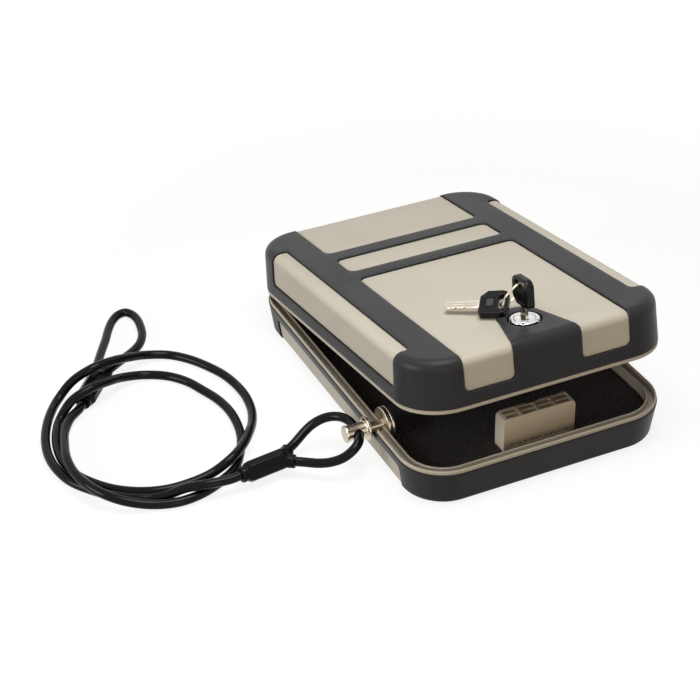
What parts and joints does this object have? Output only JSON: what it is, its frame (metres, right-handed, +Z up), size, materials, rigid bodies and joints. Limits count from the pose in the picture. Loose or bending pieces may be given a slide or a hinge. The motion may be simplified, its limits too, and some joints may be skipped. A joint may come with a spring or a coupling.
{
  "type": "portable car safe",
  "caption": "Clamshell lock box with a hinged foam-lined lid, a key lock with its keys on a ring, and a coated cable held on a pin at the rim.",
  "frame": {"origin": "centre of the flat underside of the base, on the surface it rests on", "axes": "+Z up; -Y towards the lock side that opens; +Y towards the hinge; -X towards the side with the cable pin"},
  "size_m": [0.3626, 0.2979, 0.1207],
  "materials": {
    "tan_shell": "satin moulded, light tan",
    "dark_jacket": "fine matt texture, dark grey",
    "black_foam": "open-cell foam, near black",
    "chrome": "polished",
    "nickel_steel": "nickel plated, bright",
    "zinc_steel": "zinc plated",
    "brass": "plain",
    "black_vinyl": "semi-gloss vinyl",
    "black_grip": "semi-gloss moulded"
  },
  "bodies": {
    "base": {"base_shell": "tan_shell", "base_jacket": "dark_jacket", "base_foam": "black_foam", "latch_block": "tan_shell", "latch_screw_left": "zinc_steel", "latch_screw_right": "zinc_steel", "hinge_pin": "zinc_steel", "cable_pin": "nickel_steel", "pin_eye": "black_vinyl", "ferrule_a": "black_vinyl", "cable_run": "black_vinyl", "ferrule_b": "black_vinyl", "end_eye": "black_vinyl"},
    "lid": {"lid_shell": "tan_shell", "lid_jacket": "dark_jacket", "lid_foam": "black_foam", "lock_housing": "chrome", "lock_nut": "zinc_steel"},
    "plug": {"lock_plug": "chrome", "lock_wafer_1": "brass", "lock_wafer_2": "brass", "lock_wafer_3": "brass", "lock_wafer_4": "brass", "lock_cam": "zinc_steel", "cam_nut": "zinc_steel"},
    "key_a": {"key_a_head": "black_grip", "key_a_blade": "nickel_steel"},
    "ring": {"key_ring": "zinc_steel"},
    "key_b": {"key_b_head": "black_grip", "key_b_blade": "nickel_steel"}
  },
  "joints": [
    {"name": "lid_hinge", "type": "hinge", "parent": "base", "child": "lid", "pos_m": [0, 0.1255, 0.02027], "axis": [-1, 0, 0], "range_deg": [-8.86, 86]},
    {"name": "lock_turn", "type": "hinge", "parent": "lid", "child": "plug", "pos_m": [0, -0.08923, 0.09385], "axis": [0, 0.154, 0.9881], "range_deg": [-90, 0]},
    {"name": "key_slide", "type": "slide", "parent": "plug", "child": "key_a", "axis": [0, 0.154, 0.9881], "range_m": [0, 0.016]},
    {"name": "ring_swing", "type": "hinge", "parent": "key_a", "child": "ring", "pos_m": [0.00003, -0.08266, 0.11511], "axis": [0.9318, 0.3369, 0.1352], "range_deg": [0, 60]},
    {"name": "key_b_swing", "type": "hinge", "parent": "ring", "child": "key_b", "pos_m": [-0.00846, -0.07603, 0.0968], "axis": [0.6257, 0.5765, -0.5255], "range_deg": [0, 10]}
  ]
}
